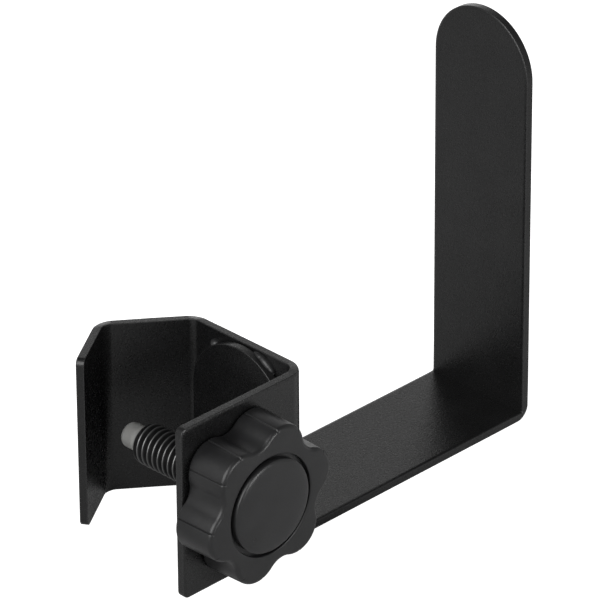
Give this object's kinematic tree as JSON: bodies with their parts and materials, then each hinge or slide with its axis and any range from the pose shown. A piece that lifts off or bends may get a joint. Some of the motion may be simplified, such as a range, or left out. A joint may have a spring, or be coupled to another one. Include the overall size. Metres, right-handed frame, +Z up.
{
  "type": "headphone hook",
  "caption": "Headphone hook of bent black steel strip, held to a tube by a V-jaw clamp with a lobed knob and a plastic-tipped clamp screw.",
  "frame": {"origin": "on the axis of a 25 mm tube seated in the V-jaw, level with the top of the headband ledge", "axes": "+Z up along the clamped tube, +X from the clamp towards the hook plate, +Y from the knob towards the V-jaw"},
  "size_m": [0.1148, 0.0589, 0.099],
  "materials": {
    "powder_coat": "semi-gloss black powder coat with a fine grain",
    "screw_steel": "dark passivated steel, bright on the thread crests",
    "nylon": "natural nylon, slightly translucent",
    "knob_plastic": "satin black moulded plastic with a fine texture",
    "cap_plastic": "satin black moulded plastic"
  },
  "bodies": {
    "clamp": {"clamp_bracket": "powder_coat", "hook_arm": "powder_coat", "arm_welds": "powder_coat", "weld_nut": "powder_coat", "nut_welds": "powder_coat"},
    "tip": {"pressure_tip": "nylon"},
    "screw": {"clamp_screw": "screw_steel", "star_knob": "knob_plastic", "knob_cap": "cap_plastic"}
  },
  "joints": [
    {"name": "screw_feed", "type": "slide", "parent": "clamp", "child": "tip", "axis": [0, -1, 0], "range_m": [0, 0.02064]},
    {"name": "knob_turn", "type": "hinge", "parent": "tip", "child": "screw", "pos_m": [-0.00354, -0.00222, 0.0218], "axis": [0, -1, 0], "range_deg": [0, 4680]}
  ],
  "couplings": [
    {"joint": "screw_feed", "follows": "knob_turn", "m_per_rad": 0.00025266}
  ]
}
